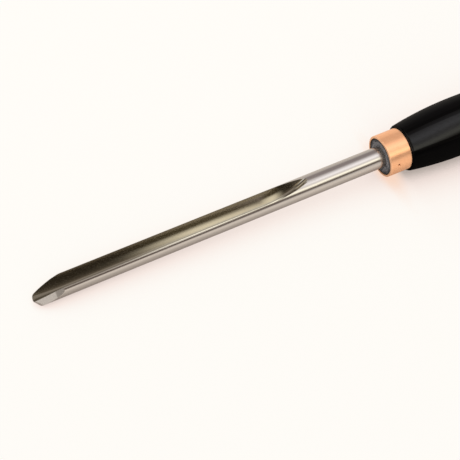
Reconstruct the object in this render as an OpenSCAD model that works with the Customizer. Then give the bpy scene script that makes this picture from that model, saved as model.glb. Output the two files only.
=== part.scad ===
// Bowl gouge for woodturning: a round steel bar with a deep ground flute and a swept-back grind,
// driven into a turned wooden handle whose front end is bound by a copper ferrule.
// Millimetres. X runs along the tool with the tip towards -X, and the flute opens towards +Z.
// The origin is on the tool's axis, in the plane of the ferrule's front edge.

/* [Bar] */
// diameter of the round bar
bar_d = 12.7; // [12:0.1:14]
// length of bar between the ferrule's front edge and the nose
bar_out = 209.3; // [180:0.1:260]
// plain round length between the ferrule's front edge and the end of the flute
shank_len = 47.2; // [35:0.2:65]
// how much thinner polishing leaves the fluted length, on the radius
polish_depth = 0.01; // [0.005:0.005:0.05]
// length over which the polished surface fades into the shank
polish_fade = 3; // [1:0.5:6]
// plain round length between the end of the flute and that fade
polish_past = 1.2; // [0.4:0.2:4]

/* [Flute] */
// width of the flute between its two lips
flute_w = 9.2; // [8.8:0.1:9.8]
// depth of the flute below the top of the bar
flute_depth = 9.75; // [9:0.05:10]
// radius of the flute's rounded floor
flute_floor = 2.2; // [1.6:0.1:2.4]
// slope of each curved flute wall away from upright, at its lip, in degrees
flute_slope = 13; // [9:1:16]
// radius of the wheel that leaves the run-out at the end of the flute
wheel_r = 40; // [32:1:60]

/* [Grind] */
// sweep of the wings back from the nose, where they begin, seen from above, in degrees
wing_sweep = 34; // [30:0.2:38]
// lean of the wings away from upright, where they begin, in degrees
wing_lean = 33; // [30:0.2:36]
// radius on which each wing is rolled over the grinding wheel, which makes it bulge
wing_roll = 65; // [60:1:90]
// height of the nose cone's point over the bar's axis; a higher point leaves a blunter nose
nose_point = -0.7; // [-1.2:0.05:-0.2]
// distance from the nose back to the flat facet at the end of each wing
wing_back = 12.6; // [11:0.1:14]
// how much less that facet sweeps back than the wing in front of it, in degrees
wing_end_turn = 4; // [3.5:0.5:6]

/* [Tang] */
// length of the tang inside the handle
tang_len = 75; // [50:1:110]
// how far the tang lies under the bar's surface, which leaves a shoulder to stop on the wood
tang_step = 0.35; // [0.2:0.05:0.8]
// bevel on the end of the tang
tang_bevel = 1.5; // [0.5:0.1:2.5]
// gap around the tang in its hole
tang_gap = 0.05; // [0.02:0.01:0.15]
// depth left free beyond the end of the tang
tang_room = 2; // [0.5:0.5:6]

/* [Ferrule] */
// outside diameter of the ferrule
ferrule_d = 24.9; // [23:0.1:27]
// length of the ferrule
ferrule_len = 13.6; // [10:0.1:20]
// wall of the ferrule
ferrule_wall = 1.25; // [1:0.05:1.8]
// rounding of the ferrule's edges
ferrule_edge = 0.35; // [0.1:0.05:0.45]
// gap between the ferrule and the wood inside it
ferrule_gap = 0.03; // [0.01:0.01:0.1]
// depth of the punch mark that holds the ferrule
punch_depth = 0.55; // [0.2:0.05:0.8]
// radius of the punch's round point
punch_r = 1.1; // [0.9:0.1:2]
// distance of the punch mark from the ferrule's front edge
punch_at = 5.2; // [3:0.1:8]
// turn of the punch mark around the ferrule from the top, in degrees
punch_turn = 75; // [0:1:359]

/* [Handle] */
// length of the handle from the ferrule's front edge to the butt
handle_len = 320; // [290:1:380]
// depth of the wood's end face behind the ferrule's front edge
end_recess = 0.25; // [0.1:0.05:0.8]
// bevel around the wood's end face
end_bevel = 0.4; // [0.1:0.1:0.8]
// step from the ferrule up to the handle's shoulder
shoulder_step = 1.35; // [0.8:0.05:2]
// rounding of the shoulder
shoulder_round = 1.5; // [0.6:0.1:2]
// diameter of the belly, the thickest place
belly_d = 34.2; // [33:0.2:40]
// distance of the belly from the ferrule's front edge
belly_at = 52; // [45:1:70]
// diameter of the waist
waist_d = 26.4; // [23:0.2:28]
// distance of the waist from the ferrule's front edge
waist_at = 200; // [180:1:215]
// diameter of the swelling near the butt
butt_d = 31.2; // [29:0.2:36]
// radius of the butt's domed end
butt_dome = 32; // [26:1:60]
// rounding between the swelling and the dome
butt_round = 10; // [6:0.5:13]

/* [Hidden] */

$fn = 96;
// long arcs are cut from large circles, which need more sides to look round
arc_sides = 1800;
// a little more than flush, so that shapes pass right through each other
over = 1;
// where two curves run into each other, one stands over the other by this much, so that they cross
crossing = 0.003;

bar_r = bar_d / 2;
polished_r = bar_r - polish_depth;
polished_x = polish_past + polish_fade - shank_len;
lip_y = flute_w / 2;
lip_z = sqrt(bar_r * bar_r - lip_y * lip_y);
floor_z = bar_r - flute_depth;
// each wall is an arc from its lip down to the rounded floor, which makes the section almost a parabola
floor_r = flute_floor - crossing;
floor_up = floor_z + flute_floor;
wall_rise = lip_z - floor_up;
wall_r = (lip_y * lip_y + wall_rise * wall_rise - floor_r * floor_r)
    / (2 * (lip_y * cos(flute_slope) - wall_rise * sin(flute_slope) - floor_r));
// the centre of a wall's arc lies beyond the opposite wall
arc_y = wall_r * cos(flute_slope) - lip_y;
arc_z = lip_z + wall_r * sin(flute_slope);
wall_z = arc_z - (arc_z - floor_up) * wall_r / (wall_r - floor_r);
// the wheel dips a hair under the straight flute before it climbs out
runout_dip = 0.03;
runout_turn = acos((wheel_r - flute_depth - runout_dip) / wheel_r);
// the wheel's turn begins and ends this many degrees outside the metal that it cuts
runout_lead = 8;
runout_x = -shank_len - wheel_r * sin(runout_turn);

nose_x = -bar_out;
// the cone that rounds the nose touches both wings where they begin, a hair wider so that they cross
nose_crease = 0.2;
// its cut ends this far over its point
nose_lift = 0.15;
nose_tilt = atan(sin(wing_sweep) * tan(wing_lean));
nose_cone = asin(cos(nose_tilt) * sin(wing_sweep) / cos(wing_lean)) + nose_crease;
point_x = nose_x - (nose_point - floor_z) / tan(nose_tilt + nose_cone);
// each wing rolls on a cylinder from the cone's point to its end facet, as an ellipse seen from above
wing_x = nose_x + wing_back;
roll_back = wing_roll * cos(wing_sweep);
roll_out = wing_roll * sin(wing_sweep) / cos(wing_lean);
roll_turn = atan(roll_out / roll_back)
    + asin((wing_x - point_x - roll_out) / norm([roll_back, roll_out]));
wing_y = wing_roll * sin(roll_turn) * sin(wing_sweep)
    - wing_roll * (1 - cos(roll_turn)) * cos(wing_sweep) / cos(wing_lean);
// its sweep and lean there, from which the end facet turns away along an upright crease
crease_sweep = wing_sweep - atan(tan(roll_turn) / cos(wing_lean));
crease_lean = atan(sin(wing_lean) / norm([cos(wing_lean), tan(roll_turn)]));
wing_end_sweep = crease_sweep - wing_end_turn;
wing_end_lean = atan(tan(crease_lean) * cos(wing_end_sweep) / cos(crease_sweep));
// the roll stops half way along the chord that the end facet cuts off it
roll_stop = roll_turn + wing_end_turn * cos(wing_lean);
// the grinding cuts are blocks wide enough for the whole tip
block = 8 * bar_d;

tang_r = bar_r - tang_step;
ferrule_r = ferrule_d / 2;
spigot_r = ferrule_r - ferrule_wall - ferrule_gap;
shoulder_r = ferrule_r + shoulder_step;
belly_r = belly_d / 2;
waist_r = waist_d / 2;
butt_r = butt_d / 2;
// the swelling's crest lies where the rounding of the butt begins
butt_core = butt_r - butt_round;
dome_x = handle_len - butt_dome;
dome_reach = butt_dome + crossing;
butt_at = dome_x + sqrt(pow(dome_reach - butt_round, 2) - butt_core * butt_core);
// each long side of the handle is a bulge and a share of the hollow at the waist, both true arcs
hollow_share = 0.55;
belly_wave = wave_r(waist_at - belly_at, belly_r - waist_r - 2 * crossing);
butt_wave = wave_r(butt_at - waist_at, butt_r - waist_r - 2 * crossing);
hollow_r = hollow_share * min(belly_wave, butt_wave);

// sum of the radii of two arcs that take a curve from level to level over a run and a drop
function wave_r(run, drop) = (run * run + drop * drop) / (2 * drop);

// a round rod along X
module rod(from, to, r1, r2) {
    translate([from, 0, 0])
        rotate([0, 90, 0])
            cylinder(h = to - from, r1 = r1, r2 = r2);
}

// the flute's cross-section: Y to the right and Z up
module flute_section() {
    translate([0, floor_up])
        circle(flute_floor);
    intersection() {
        translate([-arc_y, arc_z])
            circle(wall_r, $fn = arc_sides);
        translate([arc_y, arc_z])
            circle(wall_r, $fn = arc_sides);
        translate([-bar_d, wall_z])
            square([2 * bar_d, bar_d - wall_z]);
    }
}

// the straight flute, from beyond the nose to the start of the run-out
module flute_channel() {
    translate([nose_x - bar_d, 0, 0])
        rotate([90, 0, 90])
            linear_extrude(runout_x - nose_x + bar_d)
                flute_section();
}

// the wheel climbs out of the bar on a wide arc and leaves a rounded end
module flute_runout() {
    translate([runout_x, 0, floor_z - runout_dip + wheel_r])
        rotate([90, 0, 0])
            rotate_extrude(angle = runout_turn + 2 * runout_lead, start = -90 - runout_lead)
                translate([wheel_r, 0])
                    rotate(90)
                        translate([0, -floor_z])
                            flute_section();
}

// everything outside the cone that rounds the nose, up to just over the cone's point
module nose_bevel() {
    translate([point_x, 0, nose_point])
        difference() {
            translate([-block / 2, -block / 2, nose_lift - block])
                cube(block);
            rotate([0, 90 + nose_tilt, 0])
                cylinder(h = block, r1 = 0, r2 = block * tan(nose_cone));
        }
}

// everything outside a wing's rolled surface
module wing_bevel() {
    translate([point_x, 0, nose_point])
        rotate([0, -wing_lean, 90 + wing_sweep])
            translate([-wing_roll, 0, -block / 2])
                difference() {
                    translate([wing_roll * cos(roll_stop) - over, -wing_roll * sin(roll_stop), 0])
                        cube(block);
                    // turned so that the cylinder's seam is far from the nose
                    translate([0, 0, -over])
                        rotate(180)
                            cylinder(h = block + 2 * over, r = wing_roll, $fn = arc_sides);
                }
}

// everything outside the flat facet at the end of a wing
module wing_end() {
    translate([wing_x, wing_y, nose_point])
        rotate([0, -wing_end_lean, 90 + wing_end_sweep])
            translate([0, -block / 2, -block / 2])
                cube(block);
}

// the bar and its thinner tang, with the straight flute already in it
module fluted_bar() {
    difference() {
        union() {
            rod(nose_x - bar_d, polished_x - polish_fade, polished_r, polished_r);
            rod(polished_x - polish_fade, polished_x, polished_r, bar_r);
            rod(polished_x, end_recess, bar_r, bar_r);
            rod(end_recess, tang_len - tang_bevel, tang_r, tang_r);
            rod(tang_len - tang_bevel, tang_len, tang_r, tang_r - tang_bevel);
        }
        flute_channel();
    }
}

module gouge_bar() {
    color("#b4b2ad")
        difference() {
            fluted_bar();
            flute_runout();
            nose_bevel();
            for (side = [0, 1])
                mirror([0, side, 0]) {
                    wing_bevel();
                    wing_end();
                }
        }
}

// the sliver outside a rounded corner at [0, 0] whose arc faces away from +X and +Y
module corner_sliver(r) {
    difference() {
        translate([-r, -r])
            square(r + over);
        translate([-r, -r])
            circle(r);
    }
}

module ferrule_section() {
    difference() {
        translate([ferrule_r - ferrule_wall, 0])
            square([ferrule_wall, ferrule_len]);
        translate([ferrule_r, ferrule_len])
            corner_sliver(ferrule_edge);
        translate([ferrule_r, 0])
            mirror([0, 1])
                corner_sliver(ferrule_edge);
    }
}

module ferrule() {
    color("#d68a5c")
        difference() {
            rotate([0, 90, 0])
                rotate_extrude()
                    ferrule_section();
            rotate([punch_turn, 0, 0])
                translate([punch_at, 0, ferrule_r + punch_r - punch_depth])
                    sphere(punch_r);
        }
}

// a large circle that touches the level line through [0, 0] from below
module crown(r) {
    translate([0, -r])
        circle(r, $fn = arc_sides);
}

// the rounded shoulder and the rise from it to the belly
module outline_front() {
    bulge_r = wave_r(belly_at - ferrule_len, belly_r - shoulder_r);
    reach = bulge_r + crossing;
    core = reach - shoulder_round;
    core_x = ferrule_len + shoulder_round;
    core_r = belly_r - bulge_r + sqrt(core * core - pow(belly_at - core_x, 2));
    // where the rounding passes into the long curve
    meet_x = belly_at - (belly_at - core_x) * reach / core;
    intersection() {
        translate([belly_at, belly_r])
            crown(bulge_r);
        translate([meet_x, 0])
            square([waist_at - meet_x, belly_r]);
    }
    translate([core_x, core_r])
        circle(shoulder_round);
    translate([ferrule_len, 0])
        square([meet_x - ferrule_len + over, core_r]);
}

// a bulge of the outline, from its crest towards the waist
module outline_bulge(crest_x, crest_r, bulge_r) {
    intersection() {
        translate([crest_x, crest_r - crossing])
            crown(bulge_r);
        translate([min(crest_x, waist_at), 0])
            square([abs(waist_at - crest_x), crest_r]);
    }
}

// the hollow at the waist, between the two bulges
module outline_hollow() {
    from_x = waist_at - (waist_at - belly_at) * hollow_r / belly_wave;
    to_x = waist_at + (butt_at - waist_at) * hollow_r / butt_wave;
    difference() {
        translate([from_x, 0])
            square([to_x - from_x, max(belly_r, butt_r)]);
        translate([waist_at, waist_r])
            mirror([0, 1])
                crown(hollow_r);
    }
}

// the butt: a rounding from the crest into a domed end
module outline_butt() {
    reach = dome_reach / (dome_reach - butt_round);
    meet_x = dome_x + (butt_at - dome_x) * reach;
    meet_r = butt_core * reach;
    intersection() {
        translate([butt_at, butt_core])
            circle(butt_round);
        translate([butt_at - butt_round, 0])
            square([2 * butt_round, butt_r]);
    }
    intersection() {
        translate([dome_x, 0])
            circle(butt_dome);
        polygon([
            [butt_at, 0],
            [handle_len + over, 0],
            [handle_len + over, meet_r],
            [meet_x, meet_r],
            [butt_at, butt_core]
        ]);
    }
}

// half of the handle's outline: X along the tool and the radius upwards
module handle_outline() {
    polygon([
        [end_recess, 0],
        [ferrule_len + over, 0],
        [ferrule_len + over, spigot_r],
        [end_recess + end_bevel, spigot_r],
        [end_recess, spigot_r - end_bevel]
    ]);
    outline_front();
    outline_bulge(belly_at, belly_r, belly_wave - hollow_r);
    outline_hollow();
    outline_bulge(butt_at, butt_r, butt_wave - hollow_r);
    outline_butt();
}

module handle() {
    hole_r = tang_r + tang_gap;
    color("#1c1b1d")
        difference() {
            rotate([0, 90, 0])
                rotate_extrude()
                    mirror([1, -1])
                        handle_outline();
            rod(end_recess - over, tang_len + tang_room, hole_r, hole_r);
        }
}

gouge_bar();
ferrule();
handle();
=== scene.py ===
"""The bowl gouge's looks: ground steel bar, copper ferrule and black lacquered handle, on a pale floor."""

import math

import bpy
from mathutils import Matrix, Vector


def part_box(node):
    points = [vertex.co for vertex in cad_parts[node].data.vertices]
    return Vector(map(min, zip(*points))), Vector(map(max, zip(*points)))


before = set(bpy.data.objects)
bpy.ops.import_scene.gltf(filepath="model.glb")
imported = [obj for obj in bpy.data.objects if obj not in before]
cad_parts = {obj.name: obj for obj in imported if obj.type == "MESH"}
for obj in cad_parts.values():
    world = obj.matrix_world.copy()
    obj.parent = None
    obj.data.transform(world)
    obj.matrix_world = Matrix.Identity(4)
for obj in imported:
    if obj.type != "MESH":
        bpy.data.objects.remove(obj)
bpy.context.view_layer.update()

MM = 0.001
DEGREES = 180 / math.pi
BLACK = (0, 0, 0)

# Sizes of the solids, in millimetres along and around the tool's axis
bar_low, bar_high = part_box("gouge_bar")
_, ferrule_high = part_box("ferrule")
handle_low, handle_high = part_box("handle")
BAR_R = bar_high[1] / MM
NOSE_X = bar_low[0] / MM
FERRULE_R = ferrule_high[1] / MM
FERRULE_LEN = ferrule_high[0] / MM
BELLY_R = handle_high[1] / MM
END_FACE_X = handle_low[0] / MM
# the handle is thickest here
BELLY_X = 52
# the punch mark's place along the ferrule, and its turn from the top towards the front, in degrees
PUNCH_X = 5.2
PUNCH_TURN = 75
# the grind ends this far behind the nose, and its flat end facets begin this far behind it
GRIND_LEN = 17.5
FACET_FROM = 12.6
# the tool lies on the heel under its nose and on its belly
HEEL_X = NOSE_X + 1.8


class Value:
    """A number that changes over a surface. Arithmetic on it adds Math nodes."""

    def __init__(self, shader, socket):
        self.shader = shader
        self.socket = socket

    def math(self, operation, *others):
        inputs = dict(enumerate((self, *others)))
        return self.shader.add("ShaderNodeMath", {"operation": operation}, inputs)

    def reflected(self, operation, other):
        return self.shader.add("ShaderNodeMath", {"operation": operation}, {0: other, 1: self})

    def __add__(self, other):
        return self.math("ADD", other)

    __radd__ = __add__

    def __sub__(self, other):
        return self.math("SUBTRACT", other)

    def __rsub__(self, other):
        return self.reflected("SUBTRACT", other)

    def __mul__(self, other):
        return self.math("MULTIPLY", other)

    __rmul__ = __mul__

    def __truediv__(self, other):
        return self.math("DIVIDE", other)

    def __rtruediv__(self, other):
        return self.reflected("DIVIDE", other)

    def __pow__(self, other):
        return self.math("POWER", other)

    def __neg__(self):
        return self.reflected("SUBTRACT", 0)

    def above(self, edge, width):
        """0 under the edge and 1 over it, with a soft step of that width."""
        return ((self - edge) / width + 0.5).clamped()

    def below(self, edge, width):
        return 1 - self.above(edge, width)

    def between(self, least, most):
        """From the least, where this is 0, to the most, where it is 1."""
        return least + (most - least) * self

    def clamped(self, least=0, most=1):
        return self.shader.add("ShaderNodeClamp", {}, {"Value": self, "Min": least, "Max": most})


class Shader:
    """A node tree under construction."""

    def __init__(self, tree):
        self.tree = tree
        tree.nodes.clear()

    def add(self, kind, settings, inputs, output=0):
        """One node: its type, its settings, its sockets' values or links, and the output that is wanted."""
        node = self.tree.nodes.new(kind)
        for name, setting in settings.items():
            if name == "ramp":
                self.set_ramp(node.color_ramp, *setting)
            else:
                setattr(node, name, setting)
        for name, given in inputs.items():
            socket = node.inputs[name]
            if isinstance(given, Value):
                self.tree.links.new(given.socket, socket)
            else:
                socket.default_value = given
        return Value(self, node.outputs[output]) if node.outputs else node

    def set_ramp(self, ramp, easing, stops):
        ramp.interpolation = easing
        while len(ramp.elements) < len(stops):
            ramp.elements.new(1)
        for element, (place, shade) in zip(ramp.elements, stops):
            element.position = place
            element.color = colour(shade)

    def place(self):
        """X, Y and Z on the object, in millimetres."""
        coords = self.add("ShaderNodeTexCoord", {}, {}, "Object")
        return [part / MM for part in self.split(coords)]

    def facing(self):
        """X, Y and Z of the way the surface faces."""
        return self.split(self.add("ShaderNodeNewGeometry", {}, {}, "True Normal"))

    def ray(self, kind):
        """1 for a ray of that kind, and 0 for any other."""
        return self.add("ShaderNodeLightPath", {}, {}, kind)

    def split(self, vector):
        node = self.add("ShaderNodeSeparateXYZ", {}, {"Vector": vector}).socket.node
        return [Value(self, out) for out in node.outputs]

    def noise(self, places, counts, detail=2, roughness=0.6):
        """Noise with a mean near 0.5, with so many grains to each unit of its three places."""
        spots = [place * count for place, count in zip(places, counts)]
        vector = self.add("ShaderNodeCombineXYZ", {}, dict(zip("XYZ", spots)))
        inputs = {"Vector": vector, "Scale": 1, "Detail": detail, "Roughness": roughness}
        return self.add("ShaderNodeTexNoise", {}, inputs)

    def blend(self, share, first, second):
        """A colour between two others."""
        inputs = {0: share, 6: colour(first), 7: colour(second)}
        return self.add("ShaderNodeMix", {"data_type": "RGBA"}, inputs, 2)

    def bump(self, height, distance):
        return self.add("ShaderNodeBump", {}, {"Height": height, "Distance": distance, "Strength": 1})

    def layer(self, **inputs):
        """One finish. Names are those of the sockets, with _ for a space."""
        sockets = {name.replace("_", " "): given for name, given in inputs.items()}
        return self.add("ShaderNodeBsdfPrincipled", {}, sockets)

    def glow(self, light, strength, alpha=1):
        """A finish that only gives light."""
        return self.layer(
            Base_Color=colour(BLACK), Specular_IOR_Level=0,
            Emission_Color=light, Emission_Strength=strength, Alpha=alpha,
        )

    def surface(self, finish):
        self.add("ShaderNodeOutputMaterial", {}, {"Surface": finish})


def colour(given):
    """What a colour socket takes: a link, or red, green and blue with full cover."""
    return given if isinstance(given, Value) else (*given, 1)


def new_finish(name):
    material = bpy.data.materials.new(name)
    material.use_nodes = True
    return material, Shader(material.node_tree)


def dress(node, material):
    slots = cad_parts[node].data.materials
    slots.clear()
    slots.append(material)


# Steel: darkest and brightest marks of the round bar, the flute and the grind
BAR_TONES = (0.53, 0.50, 0.465), (0.615, 0.575, 0.54)
FLUTE_TONES = (0.56, 0.525, 0.46), (0.64, 0.605, 0.54)
GRIND_TONES = (0.53, 0.50, 0.47), (0.655, 0.62, 0.585)
# painted shade: the grind's end facets are darker than the rest of the grind
FACET_SHADE_TONE = (0.42, 0.395, 0.37)
# painted shade where the bar enters the wood
END_SHADE_TONE = (0.13, 0.115, 0.11)
# grains to a millimetre along the bar and across it, or to a radian around it with a slice last
BAR_MARKS = (0.02, 60, 3)
BAR_RINGS = (6, 0.6, 7)
FLUTE_MARKS = (0.04, 9, 9)
GRIND_MARKS = (7, 1.2, 1.2)
STEEL_CLOUD = (0.05, 0.15, 0.15)
# roughness of the smoothest and the roughest marks
BAR_ROUGH = 0.08, 0.14
FLUTE_ROUGH = 0.10, 0.16
GRIND_ROUGH = 0.24, 0.38
CLOUD_ROUGH = 0.05
END_DULLING_ROUGH = 0.22
# depth of the marks, as multiples of the last one
BAR_DEPTH, FLUTE_DEPTH, GRIND_DEPTH = 0.5, 0.5, 2
STEEL_DEPTH = 0.0025 * MM
# steps from one surface to the next, each as its place and its softness
UNDER_ROUND = BAR_R - 0.06, 0.04
GRIND_END = NOSE_X + GRIND_LEN, 0.2
FACET_START = NOSE_X + FACET_FROM, 0.6
OUTWARD = 0, 0.01
# painted shade darkens the bar where it enters the wood, and the bar is rougher there
END_SHADE_START = -2.4, 4.8
END_SHADE_CLOUD = 0.7, 1.3
END_SHADE_SHARE = 0.35


def bar_surfaces(s, x, y, z):
    """Where the bar is still round, where it is fluted and where it is ground to an edge."""
    radius = (y * y + z * z) ** 0.5
    _, facing_y, facing_z = s.facing()
    inside = radius.below(*UNDER_ROUND)
    outward = (facing_y * y + facing_z * z).above(*OUTWARD)
    grind = inside * x.below(*GRIND_END) * outward
    return 1 - inside, inside * (1 - grind), grind


def ground_steel():
    """Bright bar with lengthwise marks, a darker polished flute and a coarser grind, with painted shade on
    the grind's end facets and where the bar enters the wood.
    """
    material, s = new_finish("ground_steel")
    x, y, z = s.place()
    turn = y.math("ARCTAN2", z)
    bar, flute, grind = bar_surfaces(s, x, y, z)
    # fine marks along the bar, and rings left by grinding it round
    bar_marks = s.noise((x, turn, 1), BAR_MARKS, detail=3)
    rings = s.noise((x, turn, 1), BAR_RINGS)
    # wheel marks along the flute, and up the grind
    flute_marks = s.noise((x, y, z), FLUTE_MARKS, detail=3)
    grind_marks = s.noise((x - NOSE_X, y, z), GRIND_MARKS)
    cloud = s.noise((x, y, z), STEEL_CLOUD, detail=3)
    # painted shade where the bar enters the wood; the bar is also rougher there
    end_shade_and_dulling = x.above(*END_SHADE_START) * cloud.between(*END_SHADE_CLOUD)

    # the end facets take the painted shade tone
    ground = s.blend(x.above(*FACET_START), s.blend(grind_marks, *GRIND_TONES), FACET_SHADE_TONE)
    steel = s.blend(flute, s.blend(bar_marks, *BAR_TONES), s.blend(flute_marks, *FLUTE_TONES))
    steel = s.blend(grind, steel, ground)
    # the painted shade darkens the bar's end
    steel = s.blend((end_shade_and_dulling * END_SHADE_SHARE).clamped(), steel, END_SHADE_TONE)
    rough = (
        bar * (bar_marks.between(*BAR_ROUGH) + CLOUD_ROUGH * cloud)
        + flute * flute_marks.between(*FLUTE_ROUGH)
        + grind * grind_marks.between(*GRIND_ROUGH)
        + end_shade_and_dulling * END_DULLING_ROUGH
    )
    height = (
        BAR_DEPTH * bar * (bar_marks + rings)
        + FLUTE_DEPTH * flute * flute_marks
        + GRIND_DEPTH * grind * grind_marks
    )
    s.surface(s.layer(
        Base_Color=steel, Metallic=1, Roughness=rough, Normal=s.bump(height, STEEL_DEPTH),
    ))
    return material


# Copper: dullest and brightest patches, the paler rims and the punch mark
COPPER_TONES = (0.98, 0.47, 0.24), (1.0, 0.555, 0.31)
RIM_TONE = (0.99, 0.60, 0.37)
PUNCH_TONE = (0.22, 0.06, 0.02)
# grains to a millimetre along the tube and across it, or to a radian around it with a slice last
COPPER_RINGS = (5, 0.8, 2)
TARNISH = (0.18, 0.18, 0.18)
# how far the paler rims reach, how soft they end and how much they show
RIM_LEN, RIM_SOFT, RIM_SHARE = 0.5, 0.3, 0.5
PUNCH_EDGE = 0.55, 0.3
COPPER_METAL = 0.45, 0.65
COPPER_ROUGH, COPPER_ROUGH_MARKS = 0.12, 0.08
COPPER_DEPTH = 0.018 * MM


def copper():
    """Copper tube with turned rings, soft tarnish, paler rims and a punch mark."""
    material, s = new_finish("copper")
    x, y, z = s.place()
    turn = y.math("ARCTAN2", z)
    rings = s.noise((x, turn, 1), COPPER_RINGS)
    tarnish = s.noise((x, y, z), TARNISH, detail=4)
    rims = x.below(RIM_LEN, RIM_SOFT) + x.above(FERRULE_LEN - RIM_LEN, RIM_SOFT)
    around = FERRULE_R * (turn + math.radians(PUNCH_TURN))
    from_punch = ((x - PUNCH_X) ** 2 + around ** 2) ** 0.5

    tube = s.blend(tarnish, *COPPER_TONES)
    tube = s.blend((rims * RIM_SHARE).clamped(), tube, RIM_TONE)
    tube = s.blend(from_punch.below(*PUNCH_EDGE), tube, PUNCH_TONE)
    s.surface(s.layer(
        Base_Color=tube,
        Metallic=rings.between(*COPPER_METAL),
        Specular_IOR_Level=0,
        Roughness=COPPER_ROUGH + COPPER_ROUGH_MARKS * (rings + tarnish),
        Normal=s.bump(rings, COPPER_DEPTH),
    ))
    return material


# Wood: the stained sides, and the fibres of the end grain around the bar, with a painted shade at its rim
# by the ferrule
STAINED_TONES = (0.0009, 0.0008, 0.0008), (0.0026, 0.0023, 0.0023)
FIBRE_TONES = (0.045, 0.043, 0.045), (0.32, 0.305, 0.31)
END_RIM_SHADE_TONE = (0.02, 0.0195, 0.019)
# grains to a millimetre along the handle and across it
GRAIN = (0.012, 1.1, 1.1)
PORES = (0.25, 4.5, 4.5)
MOTTLE = (1, 0.4, 0.4)
SPECKS = (1, 1.6, 1.6)
PORE_EDGE = 0.62, 0.12
MOTTLE_SHARE, SPECK_SHARE, FIBRE_LEVEL = 1.2, 3.4, -1.8
# where the end grain is: facing the nose, close behind its plane, and where its painted shade by the
# ferrule begins
FACING_NOSE = -0.9, 0.1
END_DEPTH = END_FACE_X + 0.6, 0.2
END_RIM_SHADE = FERRULE_R - 2.6, 2.4
# painted sheen: the lacquer's gloss is set by which way the surface faces, strongest on the upper side,
# weaker behind, and least underneath and on the lower front
LEAST_SHEEN, TOP_SHEEN, BACK_SHEEN = 0.04, 0.54, 0.12
PORE_DULLING = 0.3
# its steps, in degrees from straight up towards the front
TOP_SHEEN_FROM, TOP_SHEEN_TO = (8, 16), (50, 8)
BACK_SHEEN_FROM, BACK_SHEEN_TO = (-140, 60), (0, 16)
# depth of the grain, the pores and the specks, as multiples of the last one
GRAIN_DEPTH, PORE_DEPTH, SPECK_DEPTH = 0.5, -0.4, 4
WOOD_DEPTH = 0.03 * MM


def lacquer(facing_y, facing_z):
    """How glossy the lacquer is on each side of the handle: a painted sheen set by which way the surface
    faces.
    """
    lean = (-facing_y).math("ARCTAN2", facing_z) * DEGREES
    top_sheen = lean.above(*TOP_SHEEN_FROM) * lean.below(*TOP_SHEEN_TO)
    back_sheen = lean.above(*BACK_SHEEN_FROM) * lean.below(*BACK_SHEEN_TO)
    return LEAST_SHEEN + TOP_SHEEN * top_sheen + BACK_SHEEN * back_sheen


def black_wood():
    """Black stained wood under lacquer, with bare grey end grain around the bar and a painted shade at its
    rim.
    """
    material, s = new_finish("black_wood")
    x, y, z = s.place()
    radius = (y * y + z * z) ** 0.5
    facing_x, facing_y, facing_z = s.facing()
    end_face = facing_x.below(*FACING_NOSE) * x.below(*END_DEPTH)
    sides = 1 - end_face
    grain = s.noise((x, y, z), GRAIN, detail=4, roughness=0.65)
    pores = s.noise((x, y, z), PORES, roughness=0.5).above(*PORE_EDGE)
    mottle = s.noise((x, y, z), MOTTLE, detail=3)
    specks = s.noise((x, y, z), SPECKS, detail=3, roughness=0.7)

    fibres = (MOTTLE_SHARE * mottle + SPECK_SHARE * specks + FIBRE_LEVEL).clamped()
    # painted shade darkens the end grain towards the ferrule
    end_grain = s.blend(radius.above(*END_RIM_SHADE), s.blend(fibres, *FIBRE_TONES), END_RIM_SHADE_TONE)
    height = sides * (GRAIN_DEPTH * grain + PORE_DEPTH * pores) + SPECK_DEPTH * end_face * specks
    s.surface(s.layer(
        Base_Color=s.blend(end_face, s.blend(grain, *STAINED_TONES), end_grain),
        Specular_IOR_Level=0,
        Roughness=0.75,
        # the lacquer's gloss by side is a painted sheen, dulled a little in the pores
        Coat_Weight=sides * lacquer(facing_y, facing_z) * (1 - PORE_DULLING * pores),
        Coat_Roughness=0.14,
        Coat_IOR=1.5,
        Normal=s.bump(height, WOOD_DEPTH),
    ))
    return material


# Camera: where it stands around the point it looks at, in degrees and millimetres
AZIMUTH, ELEVATION, TILT = -24.547, 56.084, 2.6
AIM = (-95.07, 0, -13.29)
DISTANCE = 452.11
IMAGE_SIDE, FOCAL_PIXELS = 460, 800
SENSOR = 36
HALF_PIXEL = 0.5 / IMAGE_SIDE


def camera():
    azimuth, elevation = math.radians(AZIMUTH), math.radians(ELEVATION)
    right = Vector((math.cos(azimuth), math.sin(azimuth), 0))
    back = Vector((
        math.sin(azimuth) * math.cos(elevation),
        -math.cos(azimuth) * math.cos(elevation),
        math.sin(elevation),
    ))
    upright = Matrix((right, back.cross(right), back)).transposed()
    turned = Matrix.Rotation(math.radians(TILT), 3, "Y") @ upright
    place = (Vector(AIM) + turned.col[2] * DISTANCE) * MM
    lens = bpy.data.cameras.new("camera")
    lens.sensor_width = SENSOR
    lens.lens = SENSOR * FOCAL_PIXELS / IMAGE_SIDE
    lens.shift_x = -HALF_PIXEL
    lens.shift_y = HALF_PIXEL
    lens.clip_start = 0.01
    lens.clip_end = 100
    eye = bpy.data.objects.new("camera", lens)
    eye.matrix_world = Matrix.Translation(place) @ turned.to_4x4()
    bpy.context.scene.collection.objects.link(eye)
    bpy.context.scene.camera = eye


# Floor: share of its look that is its own white, for the camera and for what metal shows
SEEN_WHITE = 0.9
SHOWN_WHITE = 0.2
# that white, by how much open sky there is over it
SHADOW = [
    (0.28, (0.44, 0.38, 0.34)),
    (0.48, (0.82, 0.70, 0.65)),
    (0.65, (0.97, 0.84, 0.78)),
    (0.92, (1.00, 0.975, 0.93)),
]
# how far the sky is looked for, in metres, and with how many rays
SHADOW_REACH = 0.15
SHADOW_RAYS = 8
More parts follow.
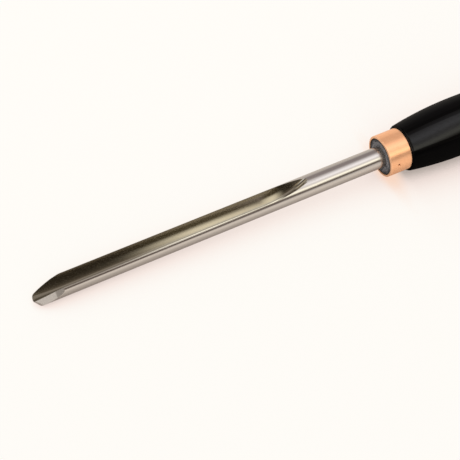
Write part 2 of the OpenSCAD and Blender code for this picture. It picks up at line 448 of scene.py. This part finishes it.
# bright steel and copper throw light back under the tool, black wood doesn't
METAL_SHADOW = 0.72
WOOD_SHADOW = 1
WOOD_START = 10, 12
# the copper's light on the floor: where along the tool it is, and how it grows as the sky closes
COPPER_LIGHT = (0.98, 0.71, 0.56)
COPPER_LIGHT_FROM, COPPER_LIGHT_TO = (-1, 8), (11, 10)
COPPER_LIGHT_GAIN, COPPER_LIGHT_LEVEL = 2.4, -0.4
# the paper in itself, and as metal shows it, pale in the open, with a painted shade under the bar and a
# fainter one behind it
PAPER_TONES = (0.92, 0.915, 0.90), (0.935, 0.93, 0.915)
PAPER_CLOUD = (0.004, 0.004, 1)
SHOWN_TONES = (0.97, 0.89, 0.81), (0.46, 0.40, 0.36)
UNDER_BAR = 22, 40
BEHIND_BAR = 20, 20
BEHIND_SHARE = 0.45
# the sheet's side in metres, and its gap under the tool in millimetres
FLOOR_SIDE = 12
FLOOR_GAP = 0.02


def own_white(s, along):
    """The floor's white, darker where the tool hides the sky, and warm beside the copper."""
    reach = {"Distance": SHADOW_REACH}
    open_sky = s.add("ShaderNodeAmbientOcclusion", {"samples": SHADOW_RAYS}, reach, "AO")
    hidden = 1 - open_sky
    weight = along.above(*WOOD_START).between(METAL_SHADOW, WOOD_SHADOW)
    white = s.add("ShaderNodeValToRGB", {"ramp": ("LINEAR", SHADOW)}, {"Fac": 1 - hidden * weight})
    beside_copper = along.above(*COPPER_LIGHT_FROM) * along.below(*COPPER_LIGHT_TO) * hidden
    warm = (COPPER_LIGHT_GAIN * beside_copper + COPPER_LIGHT_LEVEL).clamped()
    return s.blend(warm, white, COPPER_LIGHT)


def pale_floor():
    """White paper that keeps the tool's shadow."""
    material, s = new_finish("pale_floor")
    x, y, z = s.place()
    shown = (s.ray("Is Glossy Ray") + s.ray("Is Transmission Ray")).clamped()
    plain = s.blend(s.noise((x, y, z), PAPER_CLOUD, roughness=0.5), *PAPER_TONES)
    # painted shade on the floor as metal shows it: under the bar, and fainter behind it
    shown_shade = (y.math("ABSOLUTE").below(*UNDER_BAR) + BEHIND_SHARE * y.above(*BEHIND_BAR)).clamped()
    paper = s.layer(
        Base_Color=s.blend(shown, plain, s.blend(shown_shade, *SHOWN_TONES)), Specular_IOR_Level=0, Roughness=1,
    )
    white = s.glow(own_white(s, x + BELLY_X), 1)
    lift = s.ray("Is Camera Ray") * SEEN_WHITE + shown * SHOWN_WHITE
    s.surface(s.add("ShaderNodeMixShader", {}, {0: lift, 1: paper, 2: white}))
    return material


def floor():
    """A sheet under the heel of the nose and the belly of the handle."""
    drop = math.atan((BELLY_R - BAR_R) / (BELLY_X - HEEL_X))
    under_belly = Vector((BELLY_X, 0, -BELLY_R - FLOOR_GAP)) * MM
    bpy.ops.mesh.primitive_plane_add(size=FLOOR_SIDE)
    sheet = bpy.context.object
    sheet.name = "floor"
    sheet.matrix_world = Matrix.Translation(under_belly) @ Matrix.Rotation(drop, 4, "Y")
    sheet.data.materials.append(pale_floor())


BRIGHTEST = 2.0


def lit(red, green, blue):
    """A light that is given with 1 for white paper, as a share of the brightest."""
    return red / BRIGHTEST, green / BRIGHTEST, blue / BRIGHTEST


# Lights around the tool, in long bands that the plain shank shows
PALE_WALL = lit(0.74, 0.69, 0.65)
DARK_WALL = lit(0.39, 0.345, 0.345)
COOL_WINDOW = lit(1.55, 1.53, 1.58)
CEILING = lit(1.10, 1.06, 1.04)
WARM_LAMP = lit(1.92, 1.87, 1.62)
DARK_GAP = lit(0.17, 0.13, 0.11)
PALE_FRONT = lit(0.94, 0.90, 0.86)
# where each band is, in degrees from straight up towards the front
BANDS = [
    (-78, PALE_WALL),
    (-54, DARK_WALL),
    (-32, DARK_WALL),
    (15, COOL_WINDOW),
    (30, CEILING),
    (49, WARM_LAMP),
    (68, DARK_GAP),
    (73, DARK_GAP),
    (93, PALE_FRONT),
]
FULL_TURN = 360
# the bands sink a little towards the handle
SINK, SINK_FROM = 46, 0.345
SINK_LEAST, SINK_MOST = -0.18, 0.1
# a pale wall beyond the nose
NOSE_WALL = lit(0.90, 0.87, 0.84)
NOSE_WALL_FROM = -0.41, 0.10
# what dull surfaces get from all sides, and what the camera sees past the floor
FILL = lit(0.85, 0.84, 0.83)
BACKDROP = lit(1, 0.97, 0.93)


def sky():
    """Soft light all round, in long bands where polished metal shows it."""
    world = bpy.data.worlds.new("studio")
    bpy.context.scene.world = world
    world.use_nodes = True
    # light is found only by rays that leave the tool, so that the card over the bar can hide it
    world.cycles.sampling_method = "NONE"
    s = Shader(world.node_tree)
    x, y, z = s.split(s.add("ShaderNodeTexCoord", {}, {}, "Generated"))
    lean = (-y).math("ARCTAN2", z) * DEGREES + SINK * (x - SINK_FROM).clamped(SINK_LEAST, SINK_MOST)
    stops = [(0.5 + angle / FULL_TURN, light) for angle, light in BANDS]
    light = s.add("ShaderNodeValToRGB", {"ramp": ("EASE", stops)}, {"Fac": lean / FULL_TURN + 0.5})
    light = s.blend(x.below(*NOSE_WALL_FROM), light, NOSE_WALL)
    light = s.blend(s.ray("Is Diffuse Ray"), light, FILL)
    light = s.blend(s.ray("Is Camera Ray"), light, BACKDROP)
    shine = s.add("ShaderNodeBackground", {}, {"Color": light, "Strength": BRIGHTEST})
    s.add("ShaderNodeOutputWorld", {}, {"Surface": shine})


# The lamp over the tool, in watts and metres
LAMP_POWER = 3.2
LAMP_SIDE = 0.9
LAMP_TINT = (1.0, 0.985, 0.96)
LAMP_PLACE = (-0.05, 0.45, 0.9)


def overhead_lamp():
    """A large soft lamp above and behind the tool, which polished metal doesn't show."""
    light = bpy.data.lights.new("overhead", "AREA")
    light.energy = LAMP_POWER
    light.size = LAMP_SIDE
    light.color = LAMP_TINT
    lamp = bpy.data.objects.new("overhead", light)
    lamp.location = LAMP_PLACE
    lamp.visible_glossy = False
    bpy.context.scene.collection.objects.link(lamp)


# The card over the bar, in millimetres
CARD_HEIGHT = 233
CARD_X, CARD_Y = -270, -90
CARD_LEN, CARD_WIDTH = 700, 1240
# its lamp over the middle of the bar, dimmer by the handle, with a shaded side behind and another in front
LAMP = lit(1.88, 1.82, 1.62)
HANDLE_LAMP = lit(1.27, 1.21, 1.07)
BACK_SHADE = lit(0.14, 0.115, 0.065)
FRONT_SHADE = lit(0.34, 0.315, 0.28)
FRONT_GLOW = lit(0.78, 0.73, 0.64)
FRONT_EDGE = lit(1.25, 1.2, 1.1)
# its dusk over the nose, paler in front, with a pale patch beyond the nose that the end of the flute shows
DUSK = lit(0.045, 0.036, 0.025)
FRONT_DUSK = lit(0.32, 0.28, 0.24)
FRONT_EDGE_DUSK = lit(0.55, 0.50, 0.45)
BEYOND_NOSE = lit(0.15, 0.13, 0.11)
PALE_PATCH = lit(0.75, 0.66, 0.52)
# steps along the tool and across it, each as its place and its softness
LAMP_START, HANDLE_LAMP_START, CARD_END = (-108, 60), (-25, 60), (10, 40)
NOSE_END, CORNER_END = (-234, 14), (-330, 40)
BACK_SHADE_START, FRONT_SHADE_START, FRONT_GLOW_START = (205, 50), (12, 40), (-50, 60)
DUSK_LIFT, PATCH_FRONT, PATCH_BACK = (70, 260), (10, 60), (150, 50)
FRONT_EDGE_START, CARD_FRONT = (-345, 40), (-640, 80)


def lamp_light(s, along, across):
    """The card's light over the middle of the bar."""
    light = s.blend(along.above(*HANDLE_LAMP_START), LAMP, HANDLE_LAMP)
    front = s.blend(across.below(*FRONT_GLOW_START), FRONT_SHADE, FRONT_GLOW)
    light = s.blend(across.below(*FRONT_SHADE_START), light, front)
    light = s.blend(across.above(*BACK_SHADE_START), light, BACK_SHADE)
    return s.blend(across.below(*FRONT_EDGE_START), light, FRONT_EDGE)


def dusk_light(s, along, across):
    """The card's light over the nose."""
    light = s.blend(across.below(*DUSK_LIFT), DUSK, FRONT_DUSK)
    light = s.blend(across.below(*FRONT_EDGE_START), light, FRONT_EDGE_DUSK)
    patch = across.above(*PATCH_FRONT) * across.below(*PATCH_BACK)
    beyond = s.blend(patch, BEYOND_NOSE, PALE_PATCH)
    return s.blend(along.below(*NOSE_END), light, beyond)


def card_light():
    """Lamp and dusk, with the card cut away at the handle, in front, and at its corner before the nose."""
    material, s = new_finish("lamp_card")
    x, y, _ = s.place()
    along = x * CARD_LEN + CARD_X
    across = y * CARD_WIDTH + CARD_Y
    corner = across.below(*FRONT_EDGE_START) * along.below(*CORNER_END)
    cover = along.below(*CARD_END) * across.above(*CARD_FRONT) * (1 - corner)
    light = s.blend(along.above(*LAMP_START), dusk_light(s, along, across), lamp_light(s, along, across))
    s.surface(s.glow(light, BRIGHTEST, cover))
    return material


def lamp_card():
    """A card over the bar that only polished metal shows."""
    bpy.ops.mesh.primitive_plane_add(size=MM)
    card = bpy.context.object
    card.name = "lamp_card"
    middle = Vector((CARD_X, CARD_Y, CARD_HEIGHT)) * MM
    card.matrix_world = Matrix.LocRotScale(middle, None, Vector((CARD_LEN, CARD_WIDTH, 1)))
    card.data.materials.append(card_light())
    card.visible_camera = False
    card.visible_diffuse = False
    card.visible_shadow = False


camera()
floor()
sky()
overhead_lamp()
lamp_card()
dress("gouge_bar", ground_steel())
dress("ferrule", copper())
dress("handle", black_wood())
bpy.context.scene.view_settings.view_transform = "Standard"
